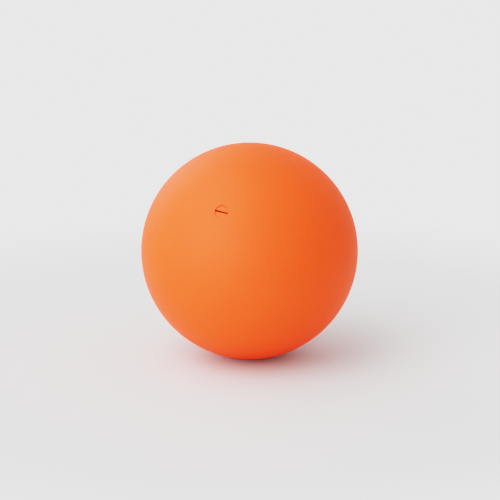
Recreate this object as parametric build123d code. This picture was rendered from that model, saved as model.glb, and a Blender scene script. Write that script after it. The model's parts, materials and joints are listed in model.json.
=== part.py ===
"""Hollow vinyl throwing ball with a self-sealing needle valve.

Three pieces: a thick rotocast shell, a firm valve seat moulded into its wall, and a soft slit plug
pressed into the seat. Each is drawn in millimetres about the valve's axis, which is local +Z with the
ball's centre at the origin, and then tipped into the ball's resting pose.

Frame: origin at the ball's centre, +Z up, -Y towards the side that the valve faces.
"""

from build123d import *

import os

# ---- Driving dimensions ----
BALL_DIAMETER = 70.0
WALL = 6.2  # soft vinyl, thick enough to bring the ball to about 100 g
PLUG_DIAMETER = 4.3  # the plug's visible face
VALVE_ELEVATION = 34.7  # degrees from the horizontal up to the valve's axis
SLIT_TURN = -9.0  # degrees about the valve's axis, from level to the slit
SLIT_WIDTH = 0.42  # at the face, where the lips stand open

# ---- Seat ----
SEAT_DEPTH = 1.6  # the skin of vinyl over the seat's outer end
SEAT_LENGTH = 10.0
SEAT_DIAMETER = 9.0
SEAT_CHAMFER = 0.4
SEAT_LIP = 0.7  # seat material above the groove
GROOVE_DIAMETER = 6.4
GROOVE_LENGTH = 1.5
BORE_DIAMETER = 3.6
FLANGE_DIAMETER = 12.6
FLANGE_THICKNESS = 1.2
FLANGE_DEPTH = 3.6
NOTCH_COUNT = 6  # vinyl flows into these notches and keys the seat
NOTCH_DIAMETER = 1.8

# ---- Shell round the seat ----
HOLE_CLEARANCE = 0.02  # hairline all round the plug's face
HOLE_LIP_FILLET = 0.06
BOSS_SHORTFALL = 1.0  # the seat's end stands proud of the boss by this
BOSS_RIM_DIAMETER = 12.4
BOSS_ROOT_DIAMETER = 20.0
BOSS_RIM_FILLET = 1.0
BOSS_ROOT_FILLET = 3.0

# ---- Plug ----
FACE_RECESS = 0.2  # the domed face lies a small step below the ball's surface
FACE_FILLET = 0.06
COLLAR_FILLET = 0.3
BULB_DIAMETER = 5.0  # too wide for the bore, so air pressure can't drive the plug out
BULB_LENGTH = 1.4
TIP_TOP_DIAMETER = 3.4
TIP_DIAMETER = 2.4
TIP_LENGTH = 2.0
TIP_FLAT_THICKNESS = 1.6  # across the two flats, which let the pressure squeeze the slit shut

# ---- Slit: a knife cut that gapes at the face and is shut further in ----
SLIT_LENGTH = PLUG_DIAMETER + 0.4  # runs out through the face's edge at both ends
SLIT_DEPTH = 3.2
SLIT_ROOT_LENGTH = 2.2
SLIT_ROOT_WIDTH = 0.08
TIP_SLIT_DEPTH = 0.6  # the notch where the slit comes out, right across the tip

# ---- Heights along the valve's axis, from the ball's centre ----
OUTER_RADIUS = BALL_DIAMETER / 2
FACE_RADIUS = OUTER_RADIUS - FACE_RECESS
CAVITY_RADIUS = OUTER_RADIUS - WALL
SEAT_TOP = OUTER_RADIUS - SEAT_DEPTH
SEAT_BOTTOM = SEAT_TOP - SEAT_LENGTH
GROOVE_TOP = SEAT_TOP - SEAT_LIP
GROOVE_BOTTOM = GROOVE_TOP - GROOVE_LENGTH
FLANGE_TOP = OUTER_RADIUS - FLANGE_DEPTH
BOSS_BOTTOM = SEAT_BOTTOM + BOSS_SHORTFALL
BULB_BOTTOM = SEAT_BOTTOM - BULB_LENGTH
TIP_BOTTOM = BULB_BOTTOM - TIP_LENGTH
OUTSIDE = OUTER_RADIUS + 1.0  # clear of the ball, where cuts from outside begin


def rod(diameter, bottom, top):
    """A cylinder on the valve's axis between two heights."""
    return cone(diameter, diameter, bottom, top)


def cone(bottom_diameter, top_diameter, bottom, top):
    """A cone or cylinder on the valve's axis between two heights."""
    outline = Plane.XZ * Polyline(
        (0, bottom), (bottom_diameter / 2, bottom), (top_diameter / 2, top), (0, top), close=True
    )
    return revolve(make_face(outline), Axis.Z)


def ring(solid, height):
    """The circular edge of a solid that lies nearest to one height on the valve's axis."""
    circles = solid.edges().filter_by(GeomType.CIRCLE)
    return circles.sort_by(lambda edge: abs(edge.arc_center.Z - height))[0]


def seat_envelope():
    """The seat as the shell grips it: sleeve and notched flange, with no bore."""
    sleeve = rod(SEAT_DIAMETER, SEAT_BOTTOM, SEAT_TOP)
    sleeve = chamfer([ring(sleeve, SEAT_TOP), ring(sleeve, SEAT_BOTTOM)], SEAT_CHAMFER)
    flange = rod(FLANGE_DIAMETER, FLANGE_TOP - FLANGE_THICKNESS, FLANGE_TOP)
    notch = rod(NOTCH_DIAMETER, FLANGE_TOP - FLANGE_THICKNESS, FLANGE_TOP)
    flange -= PolarLocations(FLANGE_DIAMETER / 2, NOTCH_COUNT) * notch
    return sleeve + flange


def valve_seat():
    """Firm bush with a lip, a groove for the plug's collar and a bore for its neck."""
    lip = rod(PLUG_DIAMETER, GROOVE_TOP, SEAT_TOP)
    groove = rod(GROOVE_DIAMETER, GROOVE_BOTTOM, GROOVE_TOP)
    bore = rod(BORE_DIAMETER, SEAT_BOTTOM, GROOVE_BOTTOM)
    return seat_envelope() - lip - groove - bore


def ball_shell():
    """One seamless wall, thickened inside where the vinyl climbs the seat, with the plug's hole."""
    shell = Sphere(OUTER_RADIUS) - Sphere(CAVITY_RADIUS)
    shell += cone(BOSS_RIM_DIAMETER, BOSS_ROOT_DIAMETER, BOSS_BOTTOM, CAVITY_RADIUS)
    shell = fillet(ring(shell, CAVITY_RADIUS), BOSS_ROOT_FILLET)
    shell = fillet(ring(shell, BOSS_BOTTOM), BOSS_RIM_FILLET)
    shell -= rod(PLUG_DIAMETER + 2 * HOLE_CLEARANCE, SEAT_TOP, OUTSIDE)
    shell = fillet(ring(shell, OUTER_RADIUS), HOLE_LIP_FILLET)
    return shell - seat_envelope()


def slit():
    """The part of the cut that stands open: long and wide at the face, closing to its root."""
    mouth = Plane.XY.offset(FACE_RADIUS) * SlotOverall(SLIT_LENGTH, SLIT_WIDTH)
    root = Plane.XY.offset(FACE_RADIUS - SLIT_DEPTH) * SlotOverall(SLIT_ROOT_LENGTH, SLIT_ROOT_WIDTH)
    return Rot(0, 0, SLIT_TURN) * loft([root, mouth])


def plug_tip():
    """Cone with two flats, like a duck's bill, notched across its end where the slit comes out."""
    flats = Box(TIP_TOP_DIAMETER, TIP_FLAT_THICKNESS, 2 * TIP_LENGTH)
    tip = cone(TIP_DIAMETER, TIP_TOP_DIAMETER, TIP_BOTTOM, BULB_BOTTOM)
    tip &= Pos(0, 0, BULB_BOTTOM) * flats
    notch = Box(TIP_TOP_DIAMETER, SLIT_ROOT_WIDTH, 2 * TIP_SLIT_DEPTH)
    return Rot(0, 0, SLIT_TURN) * (tip - Pos(0, 0, TIP_BOTTOM) * notch)


def valve_plug():
    """Soft plug: domed face, locking collar, neck, bulb and flattened tip, with the slit cut in."""
    head = rod(PLUG_DIAMETER, GROOVE_TOP, OUTSIDE) & Sphere(FACE_RADIUS)
    head = fillet(ring(head, FACE_RADIUS), FACE_FILLET)
    collar = rod(GROOVE_DIAMETER, GROOVE_BOTTOM, GROOVE_TOP)
    collar = fillet([ring(collar, GROOVE_TOP), ring(collar, GROOVE_BOTTOM)], COLLAR_FILLET)
    neck = rod(BORE_DIAMETER, SEAT_BOTTOM, GROOVE_BOTTOM)
    bulb = cone(TIP_TOP_DIAMETER, BULB_DIAMETER, BULB_BOTTOM, SEAT_BOTTOM)
    return head + collar + neck + bulb + plug_tip() - slit()


def main():
    os.makedirs("parts", exist_ok=True)
    resting_pose = Rot(90 - VALVE_ELEVATION, 0, 0)
    for build in (ball_shell, valve_seat, valve_plug):
        piece = resting_pose * build()
        export_step(piece, f"parts/{build.__name__}.step")
        print(build.__name__, "volume", round(piece.volume, 1), "mm3")


main()
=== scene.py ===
"""Looks for a hollow vinyl ball with a slit needle valve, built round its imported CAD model.

The shell and the plug are built here as fine quad meshes about the valve's axis. The valve seat,
which is hidden, keeps its CAD shape. Everything is in metres in the CAD model's frame: +Z up, with
the ball's centre at the origin.
"""

import json
import math

import bpy
import numpy as np
from mathutils import Matrix, Vector


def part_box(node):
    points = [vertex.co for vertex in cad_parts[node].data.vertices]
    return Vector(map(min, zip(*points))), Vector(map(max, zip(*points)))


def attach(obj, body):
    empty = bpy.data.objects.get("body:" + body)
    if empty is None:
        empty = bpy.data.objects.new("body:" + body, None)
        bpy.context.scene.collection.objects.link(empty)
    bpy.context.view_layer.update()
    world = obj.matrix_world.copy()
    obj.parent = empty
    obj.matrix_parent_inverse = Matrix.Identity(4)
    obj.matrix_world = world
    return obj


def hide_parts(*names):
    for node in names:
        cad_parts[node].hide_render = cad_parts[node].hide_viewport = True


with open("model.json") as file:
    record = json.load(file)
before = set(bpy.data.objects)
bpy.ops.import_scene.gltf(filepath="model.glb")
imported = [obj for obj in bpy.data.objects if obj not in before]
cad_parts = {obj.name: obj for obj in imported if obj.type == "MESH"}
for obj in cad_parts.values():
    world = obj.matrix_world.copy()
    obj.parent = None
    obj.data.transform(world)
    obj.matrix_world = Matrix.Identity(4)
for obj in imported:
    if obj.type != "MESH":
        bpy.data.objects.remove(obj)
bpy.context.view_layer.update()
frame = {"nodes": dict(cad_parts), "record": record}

MM = 0.001
SHARP_ANGLE = math.radians(40)

# ---- Taken from the frame ----
shell_low, shell_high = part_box("ball_shell")
CENTRE = (shell_low + shell_high) / 2
OUTER_RADIUS = (shell_high.x - shell_low.x) / 2
MOUNTS = {mount["name"]: mount for mount in frame["record"]["mounts"]}
VALVE_AXIS = Vector(MOUNTS["needle_slit"]["axis"]).normalized()
FACE_RADIUS = Vector(MOUNTS["needle_slit"]["pos_m"]).length  # of the plug's domed face

# ---- Shell, as in the CAD model ----
WALL = 6.2 * MM
CAVITY_RADIUS = OUTER_RADIUS - WALL
HOLE_RADIUS = 2.17 * MM
HOLE_LIP = 0.06 * MM
HOLE_LIP_STEPS = 6
SHELL_SEGMENTS = 192
RING_STEP = math.radians(1.8)  # between rings of the sphere, away from the valve
FIRST_RING_STEP = math.radians(0.15)  # beside the valve's hole
RING_GROWTH = 1.22

# ---- Seat pocket inside the shell ----
POCKET_GAP = 0.02 * MM  # keeps the shell's mesh off the seat's
SEAT_TOP = OUTER_RADIUS - 1.6 * MM
SEAT_BOTTOM = SEAT_TOP - 10.0 * MM
SEAT_RADIUS = 4.5 * MM
SEAT_CHAMFER = 0.4 * MM
FLANGE_TOP = OUTER_RADIUS - 3.6 * MM
FLANGE_BOTTOM = FLANGE_TOP - 1.2 * MM
FLANGE_RADIUS = 6.3 * MM
FLANGE_POCKET_RADIUS = FLANGE_RADIUS + POCKET_GAP
NOTCH_COUNT = 6
KEY_RADIUS = 0.69 * MM  # of the vinyl in each notch, short of its walls by a segment
BOSS_BOTTOM = SEAT_BOTTOM + 1.0 * MM
BOSS_RIM_RADIUS = 6.2 * MM
BOSS_ROOT_RADIUS = 10.0 * MM
BOSS_RIM_FILLET = 1.0 * MM
BOSS_ROOT_FILLET = 3.0 * MM
BOSS_ROOT_ROUNDS = 20  # of homing in on where the boss meets the cavity

# ---- Plug ----
PLUG_GAP = 0.03 * MM  # keeps the soft plug off the seat's walls
HEAD_RADIUS = 2.15 * MM
HEAD_FILLET = 0.06 * MM
HEAD_FILLET_STEPS = 7
HEAD_RINGS = (0.25, 0.5, 0.75)  # shares of the way down, where the slit fades out of the side
GROOVE_TOP = SEAT_TOP - 0.7 * MM
GROOVE_BOTTOM = GROOVE_TOP - 1.5 * MM
COLLAR_RADIUS = 3.2 * MM - PLUG_GAP
COLLAR_FILLET = 0.3 * MM
NECK_RADIUS = 1.8 * MM - PLUG_GAP
BULB_RADIUS = 2.5 * MM
BULB_FILLET = 0.15 * MM
BULB_BOTTOM = SEAT_BOTTOM - 1.4 * MM
TIP_TOP_RADIUS = 1.7 * MM
TIP_RADIUS = 1.2 * MM
TIP_BOTTOM = BULB_BOTTOM - 2.0 * MM
TIP_HALF_THICKNESS = 0.8 * MM
TIP_RINGS = (0.1, 0.4, 0.7)  # shares of the way down the tip

# ---- Slit ----
SLIT_TURN = math.radians(-9.0)
WALL_ROWS = 7
LIP_ROWS = 5
FACE_ROWS = 12
FACE_COLUMNS = 36
FACE_ROW_SPREAD = 1.4  # above 1, the face's rows lie closer together beside the slit

# ---- Vinyl; colours are in linear light ----
VINYL_COLOUR = (0.95, 0.0676, 0.0126)
SEAT_COLOUR = (0.80, 0.10, 0.03)
SLIT_SHADE_COLOUR = (0.28, 0.022, 0.007)  # painted shade inside the plug's slit, below its face
HOLE_SHADE_COLOUR = (0.04, 0.04, 0.015)  # painted shade on the wall of the shell's hole, round the plug
PAINTED_SHADE_DEPTH = 0.05 * MM  # below the skin, where the painted shade is full
PAINTED_SHADE_START = PAINTED_SHADE_DEPTH / 4  # below the skin, where the painted shade begins
VINYL_IOR = 1.5
VINYL_SPECULAR = 0.06  # of the matt vinyl itself
VINYL_ROUGHNESS = 0.7
SHEEN_COAT = 0.42  # share of a full satin film, which gives the broad soft highlight
SHEEN_COAT_ROUGHNESS = 0.575
CLOUD_SIZE = 9.0 * MM
CLOUD_STRENGTH = 0.03
GLOSS_PATCH_SIZE = 2.5 * MM
GLOSS_SPREAD = 0.03  # of the roughness, either way
GRAIN_SIZE = 0.3 * MM
GRAIN_HEIGHT = 0.08 * MM
GRAIN_STRENGTH = 0.6

# ---- Floor and backdrop ----
FLOOR_ALBEDO = 0.705
FLOOR_SEEN_ALBEDO = 0.51
FLOOR_ROUGHNESS = 0.65
FLOOR_SPECULAR = 0.3
FLOOR_SEGMENTS = 96
FLOOR_FADE_START = 3.5 * OUTER_RADIUS
FLOOR_FADE_END = 5.2 * OUTER_RADIUS
BACKDROP_RADIANCE = 1.2

# ---- Light ----
AMBIENT = 0.975
SOFT_LIGHT_WIDTH = math.radians(43.5)
SOFT_LIGHTS = {  # azimuth, elevation, strength
    "low_right": (2.5, 12, 0.66),
    "low_front": (-27.5, 12, 1.60),
    "low_left": (-57.5, 12, 0.60),
    "high_front": (-27.5, 50, 1.58),
    "high_left": (-72.5, 65, 0.97),
    "back_left": (-122.5, 25, 0.95),
}

# ---- Camera ----
VIEW_AZIMUTH = 17.75
VIEW_ELEVATION = 15.0
VIEW_DISTANCE = 25.63 * OUTER_RADIUS
VIEW_SHIFT = (0.0009, 0.00156)
LENS = 200.0
SENSOR_WIDTH = 36.0


# ---------------------------------------------------------------- profiles


def arc(centre_r, centre_h, radius, start, end, steps):
    """Points (r, h) along a circular arc, both ends included; angles in radians from +r towards +h."""
    angles = np.linspace(start, end, steps + 1)
    return [(centre_r + radius * math.cos(a), centre_h + radius * math.sin(a)) for a in angles]


def rounded(corners, steps=5):
    """A polyline of (r, h, fillet radius) with an arc at each corner that has a radius."""
    points = []
    for index, (r, h, fillet) in enumerate(corners):
        corner = Vector((r, h))
        if not fillet:
            points.append((r, h))
            continue
        back = (Vector(corners[index - 1][:2]) - corner).normalized()
        ahead = (Vector(corners[index + 1][:2]) - corner).normalized()
        half = back.angle(ahead) / 2
        reach = fillet / math.tan(half)
        centre = corner + (back + ahead).normalized() * (fillet / math.sin(half))
        start = corner + back * reach - centre
        end = corner + ahead * reach - centre
        turn = start.angle_signed(end)
        for step in range(steps + 1):
            angle = math.atan2(start.y, start.x) - turn * step / steps
            points.append((centre.x + fillet * math.cos(angle), centre.y + fillet * math.sin(angle)))
    return points


def ring_angles(first):
    """Angles from the valve's axis for the sphere's rings: close together at the hole, then even."""
    angles = [first]
    step = FIRST_RING_STEP
    while angles[-1] + step < math.pi - RING_STEP / 2:
        angles.append(angles[-1] + step)
        step = min(step * RING_GROWTH, RING_STEP)
    return angles


def outside_profile():
    """(r, h) from the far pole to the valve's hole, and over its rounded lip."""
    lip_centre_r = HOLE_RADIUS + HOLE_LIP
    lip_centre_h = math.sqrt((OUTER_RADIUS - HOLE_LIP) ** 2 - lip_centre_r**2)
    lip_angle = math.atan2(lip_centre_h, lip_centre_r)
    sphere = [
        (OUTER_RADIUS * math.sin(angle), OUTER_RADIUS * math.cos(angle))
        for angle in reversed(ring_angles(math.pi / 2 - lip_angle))
    ]
    lip = arc(lip_centre_r, lip_centre_h, HOLE_LIP, lip_angle, math.pi, HOLE_LIP_STEPS)[1:]
    halfway_down = (HOLE_RADIUS, (SEAT_TOP + lip_centre_h) / 2)
    return sphere + lip + [halfway_down]


def pocket_profile():
    """(r, h) down the hole and round the pocket that holds the seat."""
    sleeve_radius = SEAT_RADIUS + POCKET_GAP
    return [
        (HOLE_RADIUS, SEAT_TOP + POCKET_GAP),
        (SEAT_RADIUS - SEAT_CHAMFER, SEAT_TOP + POCKET_GAP),
        (sleeve_radius, SEAT_TOP - SEAT_CHAMFER + POCKET_GAP),
        (sleeve_radius, FLANGE_TOP + POCKET_GAP),
        (FLANGE_POCKET_RADIUS, FLANGE_TOP + POCKET_GAP),
        (FLANGE_POCKET_RADIUS, FLANGE_BOTTOM - POCKET_GAP),
        (sleeve_radius, FLANGE_BOTTOM - POCKET_GAP),
    ]


def boss_root():
    """Where the boss's cone meets the cavity's sphere."""
    slope = (BOSS_ROOT_RADIUS - BOSS_RIM_RADIUS) / (CAVITY_RADIUS - BOSS_BOTTOM)
    height = BOSS_BOTTOM
    for _ in range(BOSS_ROOT_ROUNDS):
        r = BOSS_RIM_RADIUS + slope * (height - BOSS_BOTTOM)
        height = math.sqrt(CAVITY_RADIUS**2 - r**2)
    return r, height


def boss_profile():
    """(r, h) round the boss's rim and down to the cavity's wall."""
    root_r, root_h = boss_root()
    along_sphere = Vector((root_h, -root_r)).normalized() * BOSS_ROOT_FILLET * 2
    return rounded(
        [
            (SEAT_RADIUS + POCKET_GAP, BOSS_BOTTOM, 0),
            (BOSS_RIM_RADIUS, BOSS_BOTTOM, BOSS_RIM_FILLET),
            (root_r, root_h, BOSS_ROOT_FILLET),
            (root_r + along_sphere.x, root_h + along_sphere.y, 0),
        ]
    )[:-1]


def cavity_profile(start_r, start_h):
    """(r, h) along the cavity's wall, from just past a point on it to near the far pole."""
    first = math.atan2(start_r, start_h) + RING_STEP
    steps = int((math.pi - first) / RING_STEP)
    return [
        (CAVITY_RADIUS * math.sin(angle), CAVITY_RADIUS * math.cos(angle))
        for angle in np.linspace(first, math.pi, steps, endpoint=False)
    ]


def shell_profile():
    """(r, h) from the far pole outside, round the hole and the seat's pocket, to the far pole inside."""
    boss = boss_profile()
    return outside_profile() + pocket_profile() + boss + cavity_profile(*boss[-1])


def face_edge_profile():
    """(r, h) round the edge of the plug's face, from the dome to the side."""
    centre_r = HEAD_RADIUS - HEAD_FILLET
    centre_h = math.sqrt((FACE_RADIUS - HEAD_FILLET) ** 2 - centre_r**2)
    dome_angle = math.atan2(centre_h, centre_r)
    return arc(centre_r, centre_h, HEAD_FILLET, dome_angle, 0, HEAD_FILLET_STEPS)


def plug_profile():
    """(r, h) down the plug's side, from the foot of the slit's side openings to the top of the tip."""
    collar_top = GROOVE_TOP - PLUG_GAP
    collar_bottom = GROOVE_BOTTOM + PLUG_GAP
    bulb_top = SEAT_BOTTOM - PLUG_GAP
    return rounded(
        [
            (HEAD_RADIUS, SEAT_TOP + 2 * PLUG_GAP, 0),
            (HEAD_RADIUS - PLUG_GAP, SEAT_TOP, 0),
            (HEAD_RADIUS - PLUG_GAP, collar_top, 0),
            (COLLAR_RADIUS, collar_top, COLLAR_FILLET),
            (COLLAR_RADIUS, collar_bottom, COLLAR_FILLET),
            (NECK_RADIUS, collar_bottom, 0),
            (NECK_RADIUS, bulb_top, 0),
            (BULB_RADIUS, bulb_top, BULB_FILLET),
            (TIP_TOP_RADIUS, BULB_BOTTOM, 0),
        ]
    )


# ---------------------------------------------------------------- meshes


def valve_matrix():
    """Turns the valve's own axes, with +Z outwards and X level, into the CAD model's frame."""
    across = Vector((1, 0, 0))
    up_slope = VALVE_AXIS.cross(across)
    turn = Matrix((across, up_slope, VALVE_AXIS)).transposed().to_4x4()
    return Matrix.Translation(CENTRE) @ turn


class RingMesh:
    """A closed surface about the valve's axis, made of rings joined by bands of quads.

    Faces look outwards where the rings run up the axis on the outside; flip turns them over.
    """

    def __init__(self):
        self.points = []
        self.faces = []
        self.rings = []

    def add_points(self, places):
        """Adds points and gives their indices."""
        first = len(self.points)
        self.points.extend(places)
        return range(first, len(self.points))

    def add_ring(self, places):
        self.rings.append(self.add_points(places))

    def add_disc(self, places, rows, columns, flip=False):
        """Adds a grid of quads, whose rim is the next ring."""
        indices = self.add_points(places)
        for row in range(rows - 1):
            for column in range(columns - 1):
                corner = indices[row * columns + column]
                quad = (corner, corner + 1, corner + columns + 1, corner + columns)
                self.faces.append(quad[::-1] if flip else quad)
        self.rings.append([indices[i] for i in rim(rows, columns)])

    def add_fan(self, centre, ring, flip=False):
        """Adds triangles from one point to a ring round it."""
        for here, there in zip(ring, [*ring[1:], ring[0]]):
            self.faces.append((centre, there, here) if flip else (centre, here, there))

    def add_bands(self, flip=False):
        """Adds the quads between each ring and the next."""
        for ring, following in zip(self.rings, self.rings[1:]):
            lower, upper = (following, ring) if flip else (ring, following)
            count = len(ring)
            for i in range(count):
                after = (i + 1) % count
                self.faces.append((lower[i], lower[after], upper[after], upper[i]))

    def build(self, name):
        """The smooth-shaded object, placed in the CAD model's frame."""
        mesh = bpy.data.meshes.new(name)
        mesh.from_pydata(self.points, [], self.faces)
        mesh.transform(valve_matrix())
        mesh.validate()
        mesh.polygons.foreach_set("use_smooth", [True] * len(mesh.polygons))
        mesh.set_sharp_from_angle(angle=SHARP_ANGLE)
        piece = bpy.data.objects.new(name, mesh)
        bpy.context.scene.collection.objects.link(piece)
        return piece


def rim(rows, columns):
    """Indices round the edge of a grid, anticlockwise from the first corner."""
    right = [row * columns + columns - 1 for row in range(rows)]
    top = [(rows - 1) * columns + column for column in range(columns)]
    left = [row * columns for row in range(rows)]
    return list(range(columns - 1)) + right[:-1] + top[:0:-1] + left[:0:-1]


def notched(radius, angle):
    """The radius of the flange's pocket at one angle, pulled in at each notch."""
    pitch = 2 * math.pi / NOTCH_COUNT
    off_notch = (angle + pitch / 2) % pitch - pitch / 2
    sideways = radius * math.sin(off_notch)
    if abs(sideways) >= KEY_RADIUS:
        return radius
    return radius * math.cos(off_notch) - math.sqrt(KEY_RADIUS**2 - sideways**2)


def build_shell():
    """The vinyl wall: a turned surface, closed at a pole outside and a pole inside."""
    surface = RingMesh()
    (outer_pole,) = surface.add_points([(0, 0, -OUTER_RADIUS)])
    turns = [2 * math.pi * segment / SHELL_SEGMENTS for segment in range(SHELL_SEGMENTS)]
    for r, h in shell_profile():
        places = []
        for angle in turns:
            radius = notched(r, angle) if r == FLANGE_POCKET_RADIUS else r
            places.append((radius * math.cos(angle), radius * math.sin(angle), h))
        surface.add_ring(places)
    (inner_pole,) = surface.add_points([(0, 0, -CAVITY_RADIUS)])

    surface.add_fan(outer_pole, surface.rings[0], flip=True)
    surface.add_bands()
    surface.add_fan(inner_pole, surface.rings[-1])
    return surface.build("vinyl_shell")


class Slit:
    """A knife cut along x in a round face: how deep and how wide it stands open at each place."""

    def __init__(self, half_length, root_half_length, depth, half_width, root_half_width, lip, taper):
        self.half_length = half_length
        self.root_half_length = root_half_length
        self.depth = depth
        self.half_width = half_width
        self.root_half_width = root_half_width
        self.lip = lip
        self.taper = taper  # share of the width lost from the middle to the +x end

    def floor(self, x):
        """Depth of the cut's floor at a place along it."""
        run = self.half_length - self.root_half_length
        return self.depth * min(1.0, (self.half_length - abs(x)) / run)

    def width_at(self, x, level):
        """Half the cut's width at a place along it and a depth."""
        width = self.half_width + (self.root_half_width - self.half_width) * level / self.depth
        return width * (1 - self.taper * x / self.half_length)

    def section(self, x):
        """(y, depth) on one side, from the floor's middle up the wall and over the rounded lip."""
        points = [(0.0, self.floor(x))]
        for level in np.linspace(self.floor(x), self.lip, WALL_ROWS):
            points.append((self.width_at(x, level), level))
        for angle in np.linspace(0, math.pi / 2, LIP_ROWS + 1)[1:]:
            out = self.width_at(x, self.lip) + self.lip * (1 - math.cos(angle))
            points.append((out, self.lip * (1 - math.sin(angle))))
        return points


MOUTH = Slit(
    half_length=2.35 * MM,
    root_half_length=1.1 * MM,
    depth=3.2 * MM,
    half_width=0.20 * MM,
    root_half_width=0.04 * MM,
    lip=0.05 * MM,
    taper=0.25,
)
TIP_NOTCH = Slit(  # far longer than the tip is wide, so that it runs right across
    half_length=9.0 * MM,
    root_half_length=1.2 * MM,
    depth=0.6 * MM,
    half_width=0.05 * MM,
    root_half_width=0.02 * MM,
    lip=0.04 * MM,
    taper=0.0,
)


class SlitDisc:
    """A disc of quads with a slit across it, its rows packed close together over the slit."""

    def __init__(self, radius, slit):
        half = [self.half_column(radius, slit, u) for u in np.linspace(-1, 1, FACE_COLUMNS + 1)]
        upper = [[column[row] for column in half] for row in range(len(half[0]))]
        lower = [[(x, -y, depth) for x, y, depth in row] for row in reversed(upper[1:])]
        grid = lower + upper
        self.rows = len(grid)
        self.columns = len(grid[0])
        self.points = [point for row in grid for point in row]  # (x, y, depth)
        edge = [self.points[i] for i in rim(self.rows, self.columns)]
        self.spokes = [(x / radius, y / radius, depth) for x, y, depth in edge]

    @staticmethod
    def half_column(radius, slit, u):
        """(x, y, depth) from the slit's middle out to the disc's edge; u is -1 and 1 at the slit's ends."""
        column = []
        for index, (edge_y, _) in enumerate(slit.section(math.copysign(radius, u))):
            x = u * math.sqrt(radius**2 - edge_y**2)
            column.append((x, *slit.section(x)[index]))
        start = column[-1][1]
        for step in range(1, FACE_ROWS + 1):
            share = (step / FACE_ROWS) ** FACE_ROW_SPREAD
            row_y = start + (radius - start) * share
            x = u * math.sqrt(radius**2 - row_y**2 * (1 - share / 2))
            column.append((x, row_y * math.sqrt(1 - share * u * u / 2), 0.0))
        return column


def flattened(x, y, radius):
    """y on the plug's tip, whose round section is cut by two flats."""
    reach = math.sqrt(max(radius**2 - x**2, 1e-12))
    return y * min(1.0, TIP_HALF_THICKNESS / reach)


def add_face(surface, face, edge):
    """The plug's domed face and its rounded edge, both cut by the slit."""
    dome = [(x, y, math.sqrt(FACE_RADIUS**2 - x**2 - y**2) - depth) for x, y, depth in face.points]
    surface.add_disc(dome, face.rows, face.columns)
    for r, h in edge[1:]:
        surface.add_ring([(x * r, y * r, h - depth) for x, y, depth in face.spokes])


def add_side(surface, face, top):
    """The plug's side: the slit's openings fade out above the seat, and the rest is round."""
    side = plug_profile()
    foot = side[0][1]
    for share in HEAD_RINGS:
        places = []
        for x, y, depth in face.spokes:
            h = (top - depth) * (1 - share) + foot * share
            places.append((x * HEAD_RADIUS, y * HEAD_RADIUS, h))
        surface.add_ring(places)
    for r, h in side:
        surface.add_ring([(x * r, y * r, h) for x, y, _ in face.spokes])


def add_tip(surface, tip):
    """The plug's flattened tip, closed by a notched end."""
    for share in TIP_RINGS:
        r = TIP_TOP_RADIUS + (TIP_RADIUS - TIP_TOP_RADIUS) * share
        places = []
        for x, y, depth in tip.spokes:
            h = BULB_BOTTOM * (1 - share) + (TIP_BOTTOM + depth) * share
            places.append((x * r, flattened(x * r, y * r, r), h))
        surface.add_ring(places)
    end = [(x, flattened(x, y, TIP_RADIUS), TIP_BOTTOM + depth) for x, y, depth in tip.points]
    surface.add_disc(end, tip.rows, tip.columns, flip=True)


def build_plug():
    """The soft plug: a slit domed face, rings down its side, and a notched flat-sided tip."""
    edge = face_edge_profile()
    face = SlitDisc(edge[0][0], MOUTH)
    surface = RingMesh()
    add_face(surface, face, edge)
    add_side(surface, face, edge[-1][1])
    add_tip(surface, SlitDisc(TIP_RADIUS, TIP_NOTCH))
    surface.add_bands(flip=True)

    cosine = math.cos(SLIT_TURN)
    sine = math.sin(SLIT_TURN)
    surface.points = [(x * cosine - y * sine, x * sine + y * cosine, h) for x, y, h in surface.points]
    return surface.build("slit_plug")


# ---------------------------------------------------------------- materials


class Nodes:
    """Shorthand for filling the node tree of a material or a world."""

    def __init__(self, owner, output_kind):
        owner.use_nodes = True
        self.tree = owner.node_tree
        self.tree.nodes.clear()
        self.output = self.add(output_kind)

    def add(self, kind, **inputs):
        """A node of one kind, with input values by socket name (underscores for spaces)."""
        node = self.tree.nodes.new(kind)
        for name, value in inputs.items():
            node.inputs[name.replace("_", " ")].default_value = value
        return node

    def link(self, source, target):
        self.tree.links.new(source, target)

    def noise(self, size, detail=2.0, roughness=0.5):
        """Noise in the piece's own frame whose lumps are about the given size in metres."""
        place = self.add("ShaderNodeTexCoord")
        noise = self.add("ShaderNodeTexNoise", Scale=1 / size, Detail=detail, Roughness=roughness)
        self.link(place.outputs["Object"], noise.inputs["Vector"])
        return noise.outputs["Fac"]

    def remap(self, value, low, high, start=0.3, end=0.7):
        """Moves a value from the range start to end, which is noise's own, to the range low to high."""
        node = self.add("ShaderNodeMapRange", From_Min=start, From_Max=end, To_Min=low, To_Max=high)
        self.link(value, node.inputs["Value"])
        return node.outputs["Result"]

    def mix(self, share, first, second):
        """A colour between two, each a plain colour or another node's output."""
        node = self.tree.nodes.new("ShaderNodeMix")
        node.data_type = "RGBA"
        self.link(share, node.inputs["Factor"])
        for end, colour in (("A", first), ("B", second)):
            if isinstance(colour, tuple):
                node.inputs[end].default_value = (*colour, 1)
            else:
                self.link(colour, node.inputs[end])
        return node.outputs["Result"]

    def mix_shaders(self, share, first, second):
        """A shader between two."""
        node = self.add("ShaderNodeMixShader")
        self.link(share, node.inputs["Fac"])
        self.link(first, node.inputs[1])
        self.link(second, node.inputs[2])
        return node.outputs["Shader"]

    def is_camera_ray(self):
        """1 for what the camera sees straight, 0 for the light that a surface gives to others."""
        return self.add("ShaderNodeLightPath").outputs["Is Camera Ray"]

    def distance(self):
        """How far a point is from the object's origin, in metres."""
        place = self.add("ShaderNodeTexCoord")
        length = self.tree.nodes.new("ShaderNodeVectorMath")
        length.operation = "LENGTH"
        self.link(place.outputs["Object"], length.inputs[0])
        return length.outputs["Value"]


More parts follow.
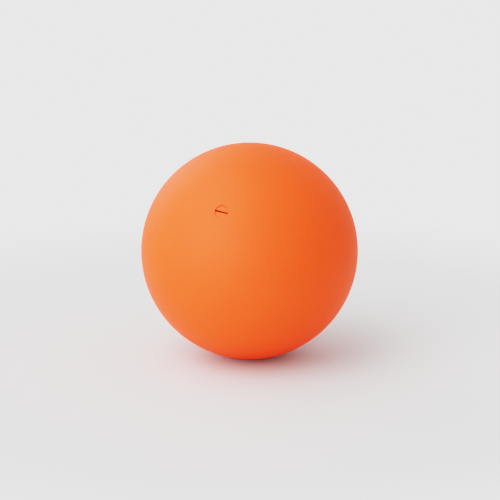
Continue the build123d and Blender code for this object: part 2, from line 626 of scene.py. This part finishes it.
def vinyl(name, colour, skin_radius, shade_colour):
    """Soft satin vinyl: faint clouds in the colour, uneven gloss and a fine moulded grain.

    Faces that go in below the skin, as in the slit and the shell's hole, get a painted shade colour.
    """
    material = bpy.data.materials.new(name)
    nodes = Nodes(material, "ShaderNodeOutputMaterial")
    shader = nodes.add(
        "ShaderNodeBsdfPrincipled",
        IOR=VINYL_IOR,
        Specular_IOR_Level=VINYL_SPECULAR,
        Coat_Weight=SHEEN_COAT,
        Coat_Roughness=SHEEN_COAT_ROUGHNESS,
    )

    clouds = nodes.remap(nodes.noise(CLOUD_SIZE, detail=8, roughness=0.7), 0, 1)
    deeper = tuple(channel * (1 - CLOUD_STRENGTH) for channel in colour)
    paler = tuple(channel * (1 + CLOUD_STRENGTH) for channel in colour)
    skin_colour = nodes.mix(clouds, deeper, paler)
    # Painted shade: below the skin, the colour goes over to the given shade colour.
    skin = nodes.remap(nodes.distance(), 0, 1, skin_radius - PAINTED_SHADE_DEPTH, skin_radius - PAINTED_SHADE_START)
    nodes.link(nodes.mix(skin, shade_colour, skin_colour), shader.inputs["Base Color"])

    patches = nodes.noise(GLOSS_PATCH_SIZE, detail=4)
    gloss = nodes.remap(patches, VINYL_ROUGHNESS - GLOSS_SPREAD, VINYL_ROUGHNESS + GLOSS_SPREAD)
    nodes.link(gloss, shader.inputs["Roughness"])

    bump = nodes.add("ShaderNodeBump", Strength=GRAIN_STRENGTH, Distance=GRAIN_HEIGHT)
    nodes.link(nodes.noise(GRAIN_SIZE, detail=3, roughness=0.6), bump.inputs["Height"])
    nodes.link(bump.outputs["Normal"], shader.inputs["Normal"])

    nodes.link(shader.outputs["BSDF"], nodes.output.inputs["Surface"])
    return material


def floor_material():
    """Pale matte card that fades out to the backdrop away from the ball.

    It gives the ball the light of a white card, but is drawn as a greyer one that suits the backdrop.
    """
    material = bpy.data.materials.new("pale_floor")
    nodes = Nodes(material, "ShaderNodeOutputMaterial")
    shader = nodes.add(
        "ShaderNodeBsdfPrincipled", Roughness=FLOOR_ROUGHNESS, Specular_IOR_Level=FLOOR_SPECULAR
    )
    white = (FLOOR_ALBEDO,) * 3
    grey = (FLOOR_SEEN_ALBEDO,) * 3
    nodes.link(nodes.mix(nodes.is_camera_ray(), white, grey), shader.inputs["Base Color"])

    fade = nodes.remap(nodes.distance(), 1, 0, FLOOR_FADE_START, FLOOR_FADE_END)
    clear = nodes.add("ShaderNodeBsdfTransparent")
    faded = nodes.mix_shaders(fade, clear.outputs["BSDF"], shader.outputs["BSDF"])
    nodes.link(faded, nodes.output.inputs["Surface"])
    return material


# ---------------------------------------------------------------- stage


def direction(azimuth, elevation):
    """Unit vector from the ball; azimuth 0 is towards -Y and 90 towards +X."""
    a = math.radians(azimuth)
    e = math.radians(elevation)
    return Vector((math.sin(a) * math.cos(e), -math.cos(a) * math.cos(e), math.sin(e)))


def build_floor():
    """A round floor under the ball."""
    angles = [2 * math.pi * i / FLOOR_SEGMENTS for i in range(FLOOR_SEGMENTS)]
    edge = [(FLOOR_FADE_END * math.cos(a), FLOOR_FADE_END * math.sin(a), 0) for a in angles]
    mesh = bpy.data.meshes.new("floor")
    mesh.from_pydata(edge, [], [tuple(range(FLOOR_SEGMENTS))])
    mesh.materials.append(floor_material())
    floor = bpy.data.objects.new("floor", mesh)
    floor.location = (CENTRE.x, CENTRE.y, CENTRE.z - OUTER_RADIUS)
    bpy.context.scene.collection.objects.link(floor)


def build_camera():
    """A long lens at the height and side from which the ball is seen."""
    data = bpy.data.cameras.new("camera")
    data.lens = LENS
    data.sensor_width = SENSOR_WIDTH
    data.shift_x, data.shift_y = VIEW_SHIFT
    camera = bpy.data.objects.new("camera", data)
    back = direction(VIEW_AZIMUTH, VIEW_ELEVATION)
    camera.location = CENTRE + back * VIEW_DISTANCE
    camera.rotation_euler = (-back).to_track_quat("-Z", "Y").to_euler()
    bpy.context.scene.collection.objects.link(camera)
    bpy.context.scene.camera = camera


def soft_light(name, azimuth, elevation, strength):
    """A wide, distant softbox: even over the whole floor, with no edge to its shadow."""
    data = bpy.data.lights.new(name, "SUN")
    data.energy = strength
    data.angle = SOFT_LIGHT_WIDTH
    light = bpy.data.objects.new(name, data)
    light.rotation_euler = (-direction(azimuth, elevation)).to_track_quat("-Z", "Y").to_euler()
    bpy.context.scene.collection.objects.link(light)


def build_world():
    """Even light from all round. The backdrop that the camera sees has its own brightness."""
    world = bpy.data.worlds.new("studio")
    bpy.context.scene.world = world
    nodes = Nodes(world, "ShaderNodeOutputWorld")
    white = (1, 1, 1, 1)
    ambient = nodes.add("ShaderNodeBackground", Color=white, Strength=AMBIENT)
    backdrop = nodes.add("ShaderNodeBackground", Color=white, Strength=BACKDROP_RADIANCE)
    seen = nodes.mix_shaders(
        nodes.is_camera_ray(), ambient.outputs["Background"], backdrop.outputs["Background"]
    )
    nodes.link(seen, nodes.output.inputs["Surface"])


def set_view_curve():
    view = bpy.context.scene.view_settings
    view.view_transform = "Filmic"
    view.look = "Very High Contrast"


def main():
    build_camera()
    build_world()
    build_floor()
    for name, placing in SOFT_LIGHTS.items():
        soft_light(name, *placing)
    set_view_curve()

    shell = build_shell()
    # The shell's hole wall gets painted shade below the skin.
    shell.data.materials.append(vinyl("satin_shell", VINYL_COLOUR, OUTER_RADIUS, HOLE_SHADE_COLOUR))
    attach(shell, "root")
    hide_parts("ball_shell")

    plug = build_plug()
    # The plug's slit gets painted shade below its face.
    plug.data.materials.append(vinyl("satin_plug", VINYL_COLOUR, FACE_RADIUS, SLIT_SHADE_COLOUR))
    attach(plug, "root")
    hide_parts("valve_plug")

    seat = frame["nodes"]["valve_seat"]
    seat.data.materials.clear()
    seat.data.materials.append(vinyl("satin_seat", SEAT_COLOUR, 0.0, SEAT_COLOUR))


main()
